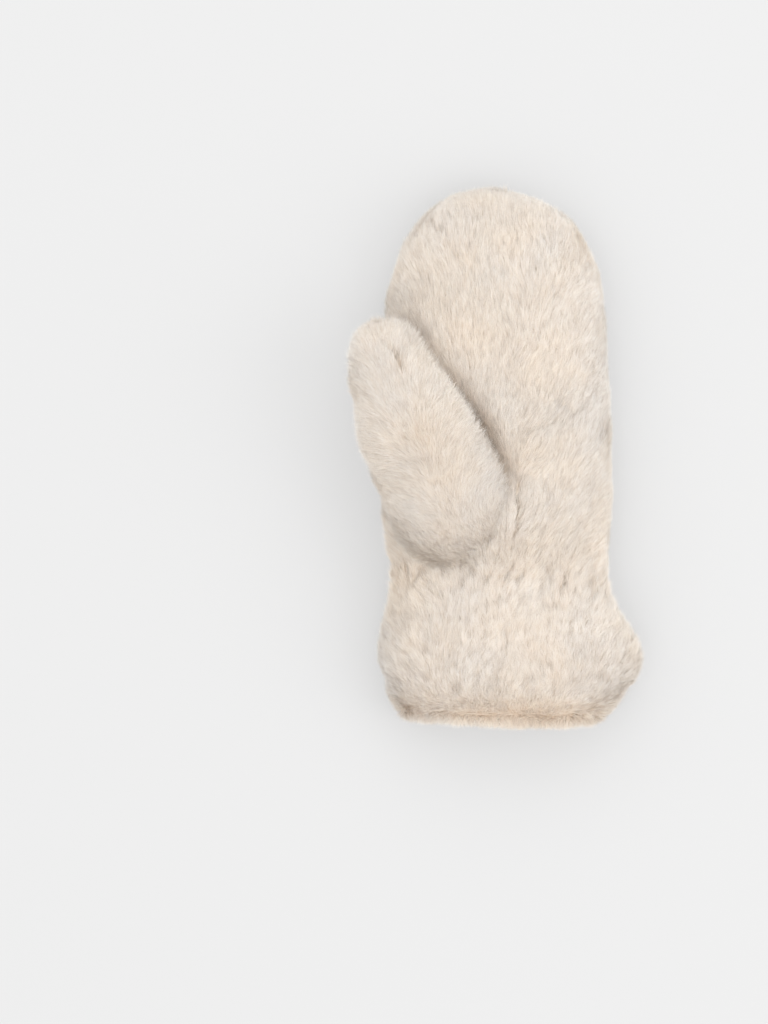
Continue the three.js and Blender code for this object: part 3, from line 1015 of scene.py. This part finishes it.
@dataclass
class Mitten:
    """The whole mitten: its two outlines, its walls and its coats."""

    hand: Hand = field(default_factory=Hand)
    thumb: Thumb = field(default_factory=Thumb)
    palm_hairs: int = 135000
    back_hairs: int = 110000
    cuff_hairs: int = 105000
    thumb_hairs: int = 175000
    underside: float = 0.7
    crease_fill: float = 3 * MM
    heel_fill: float = 44 * MM
    thumb_fill: float = 0.45
    heel_span: tuple[float, float] = (-34 * MM, 2 * MM)
    long_dimple: float = 0.5 * MM
    short_dimple: float = 0.22 * MM

    def partings(self) -> list[Parting]:
        """The places where the pile is parted, on palm, thumb, wrist and hem."""
        made = [
            Parting((-37 * MM, 119 * MM), (-31 * MM, 115 * MM), reach=3 * MM, sink=2 * MM, spread=0.35),
            Parting((-28 * MM, 110 * MM), (-21 * MM, 100 * MM), reach=3.4 * MM, sink=1 * MM, spread=0.15),
            Parting((31 * MM, 24 * MM), (37 * MM, 18 * MM), reach=2.6 * MM, sink=2.4 * MM, spread=0.3),
            Parting((37 * MM, 18 * MM), (44 * MM, 21 * MM), reach=2.6 * MM, sink=2.2 * MM, spread=0.3),
            Parting((12 * MM, 9 * MM), (27 * MM, 14 * MM), reach=2.8 * MM, sink=2 * MM, spread=0.25),
            Parting((-59 * MM, 54 * MM), (-51 * MM, 48 * MM), reach=2.2 * MM, sink=1.6 * MM),
            Parting((-52 * MM, 48 * MM), (-50 * MM, 41 * MM), reach=2.2 * MM, sink=1.6 * MM),
            Parting((9.5 * MM, -15 * MM), (10 * MM, -28 * MM), reach=3 * MM, sink=1.2 * MM, spread=0.3),
            Parting((10 * MM, -28 * MM), (7.7 * MM, -46 * MM), reach=2.6 * MM, sink=1.4 * MM, spread=0.35),
        ]
        random = np.random.default_rng(5)
        hand = self.hand
        for up in (True, False):
            for x in np.arange(-56, 58, 7.5) * MM:
                x += random.normal(0, 1.6 * MM)
                y = hand.wrist - hand.wrist_slope * x + random.normal(0, 2 * MM)
                lean, length = random.normal(0, 0.5), random.uniform(4, 9) * MM
                end = (x + lean * length, y - length)
                made.append(Parting((x, y), end, 1.9 * MM, random.uniform(1.8, 3.0) * MM, 0.6, up))
            for x in np.arange(-64, 66, 9) * MM:
                x += random.normal(0, 2 * MM)
                y = hand.hem - hand.hem_slope * x + (21 + random.normal(0, 1.6)) * MM
                end = (x + random.uniform(2, 5) * MM, y + random.normal(0, 1) * MM)
                made.append(Parting((x, y), end, 1.7 * MM, random.uniform(1.2, 2.4) * MM, 0.5, up))
        return made

    def build(self) -> None:
        """Builds every piece of the mitten."""
        finish = FurFinish()
        base = finish.material("fur_base", tinted=False)
        fur = finish.material("fur_blades", tinted=True)
        backing = BackingFinish().material("knitted_backing")
        hand_form, thumb_form = self.hand.build(), self.thumb.build()
        self.join(hand_form, thumb_form)
        for form in (hand_form, thumb_form):
            form.swell(self.dimples(form.points))
        LOG.info("outlines: %s hand, %s thumb", hand_form.points.shape, thumb_form.points.shape)
        for zone in Zone:
            form = thumb_form if zone is Zone.THUMB else hand_form
            wall = Wall(zone, form, base, backing).build()
            LOG.info("%s: %d faces", wall.name, len(wall.data.polygons))
        nap = Nap(self.hand, self.partings())
        shaggy = Pile(lay=9 * MM, tuft_pitch=2.1 * MM, tuft_turn=0.36, tuft_pull=0.5, tuft_rise=1.1 * MM,
                      stray=0.2)
        fuzzy = Pile(lay=8.2 * MM, stray=0.22, guard_share=0.3, guard_rise=1.6 * MM)
        plans = [
            (Zone.PALM, self.palm_hairs, Pile(), 2),
            (Zone.BACK, self.back_hairs, Pile(), 2),
            (Zone.CUFF, self.cuff_hairs, shaggy, 2),
            (Zone.THUMB, self.thumb_hairs, fuzzy, 1),
        ]
        for zone, count, pile, parts in plans:
            form = thumb_form if zone is Zone.THUMB else hand_form
            for part in range(parts):
                name = f"{zone.value}_fur_{'ab'[part]}"
                seed = 100 + list(Zone).index(zone) * 10 + part
                coat = Coat(name, zone, form, self.weights(zone, form), count, pile, finish, fur, seed)
                piece = coat.build(self.hand, hand_form, self.thumb, thumb_form, nap)
                LOG.info("%s: %d hairs", piece.name, len(piece.data.polygons))

    def join(self, hand_form: Form, thumb_form: Form) -> None:
        """Fills the corner where the thumb runs into the palm, widely at its heel and barely further up."""
        trees = (thumb_form.tree(), hand_form.tree())
        fills = []
        for form, tree in zip((hand_form, thumb_form), trees):
            places = form.points.reshape(-1, 3)
            apart = np.array([tree.find_nearest(Vector(p))[3] for p in places])
            reach = self.crease_fill + self.heel_fill * (1 - fade(places[:, 1], *self.heel_span))
            fill = np.clip(reach - apart, 0, None) ** 2 / (4 * reach)
            fills.append(fill.reshape(form.points.shape[:2]) * fade(form.normals[..., 2], 0.1, 0.75))
        hand_form.swell(fills[0])
        thumb_form.swell(fills[1] * self.thumb_fill)

    def dimples(self, points: np.ndarray) -> np.ndarray:
        """The slow rise and fall of the stuffed cloth under the fur, on every point of an outline."""
        places = points.reshape(-1, 3)
        rise = Ripple(21, 30 * MM).at(places) * self.long_dimple + Ripple(22, 13 * MM).at(places) * self.short_dimple
        rise = rise * fade(places[:, 2], 2 * MM, 12 * MM)
        return rise.reshape(points.shape[:2])

    def weights(self, zone: Zone, form: Form) -> np.ndarray:
        """How densely a zone's blades stand in each cell of its outline."""
        nearby = (form.points[1:] + form.points[:-1]) / 2
        middles = (nearby + np.roll(nearby, -1, axis=1)) / 2
        weight = np.where(middles[..., 2] < 2 * MM, self.underside, 1.0)
        if zone is Zone.THUMB:
            return weight
        wrist = middles[..., 1] + self.hand.wrist_slope * middles[..., 0]
        on_cuff = wrist < self.hand.wrist
        upper = middles[..., 2] > 20 * MM
        chosen = {Zone.CUFF: on_cuff, Zone.PALM: ~on_cuff & upper, Zone.BACK: ~on_cuff & ~upper}
        return weight * chosen[zone]


@dataclass
class Studio:
    """The floor, the soft lights and the camera straight above."""

    centre: tuple[float, float] = (-60.2 * MM, -28.6 * MM)
    frame_height: float = 542.7 * MM
    sharp_height: float = 22 * MM
    lens: float = 120.0
    sensor: float = 36.0
    floor_size: float = 24.0
    floor_colour: tuple[float, float, float] = linear(139, 139, 139)
    floor_glow: float = 0.42
    sky: float = 1.1

    def build(self) -> None:
        """Builds the studio."""
        self.floor()
        self.light("key", (-0.6, -1.1, 2.2), 1.8, 12)
        self.light("right", (1.3, -0.3, 1.2), 1.4, 11.5)
        self.light("back", (-1.2, 0.9, 1.4), 1.4, 5.5)
        self.light("fingertips", (0.2, 1.6, 1.5), 1.6, 11)
        self.light("top", (0.0, 0.0, 2.2), 1.6, 6)
        world = bpy.data.worlds.new("studio")
        bpy.context.scene.world = world
        world.use_nodes = True
        sky = world.node_tree.nodes["Background"]
        sky.inputs["Color"].default_value = (1, 1, 1, 1)
        sky.inputs["Strength"].default_value = self.sky
        bpy.context.scene.view_settings.view_transform = "Standard"
        self.camera()

    def floor(self) -> None:
        """The plain pale floor."""
        bpy.ops.object.select_all(action="DESELECT")
        bpy.ops.mesh.primitive_plane_add(size=self.floor_size)
        floor = bpy.context.active_object
        floor.name = "floor"
        paint = bpy.data.materials.new("floor")
        paint.use_nodes = True
        shader = paint.node_tree.nodes["Principled BSDF"]
        shader.inputs["Base Color"].default_value = (*self.floor_colour, 1)
        shader.inputs["Roughness"].default_value = 0.9
        shader.inputs["Specular IOR Level"].default_value = 0.0
        shader.inputs["Emission Color"].default_value = (1, 1, 1, 1)
        shader.inputs["Emission Strength"].default_value = self.floor_glow
        floor.data.materials.append(paint)

    def light(self, name: str, place: tuple[float, float, float], size: float, power: float) -> None:
        """Adds a square soft light that faces the mitten."""
        lamp = bpy.data.lights.new(name, "AREA")
        lamp.size = size
        lamp.energy = power
        holder = bpy.data.objects.new(name, lamp)
        holder.location = place
        holder.rotation_euler = (-Vector(place)).to_track_quat("-Z", "Y").to_euler()
        bpy.context.scene.collection.objects.link(holder)

    def camera(self) -> None:
        """The camera, straight above, with the fingertips at the top of its picture."""
        made = bpy.data.cameras.new("camera")
        made.lens = self.lens
        made.sensor_width = self.sensor
        made.clip_start, made.clip_end = 0.05, 20
        holder = bpy.data.objects.new("camera", made)
        away = self.frame_height * self.lens / self.sensor
        holder.location = (*self.centre, self.sharp_height + away)
        bpy.context.scene.collection.objects.link(holder)
        bpy.context.scene.camera = holder


def main() -> None:
    """Builds the mitten and its studio."""
    logging.basicConfig(level=logging.INFO, format="%(name)s: %(message)s")
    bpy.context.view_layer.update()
    Mitten().build()
    Studio().build()


if __name__ == "__main__":
    main()
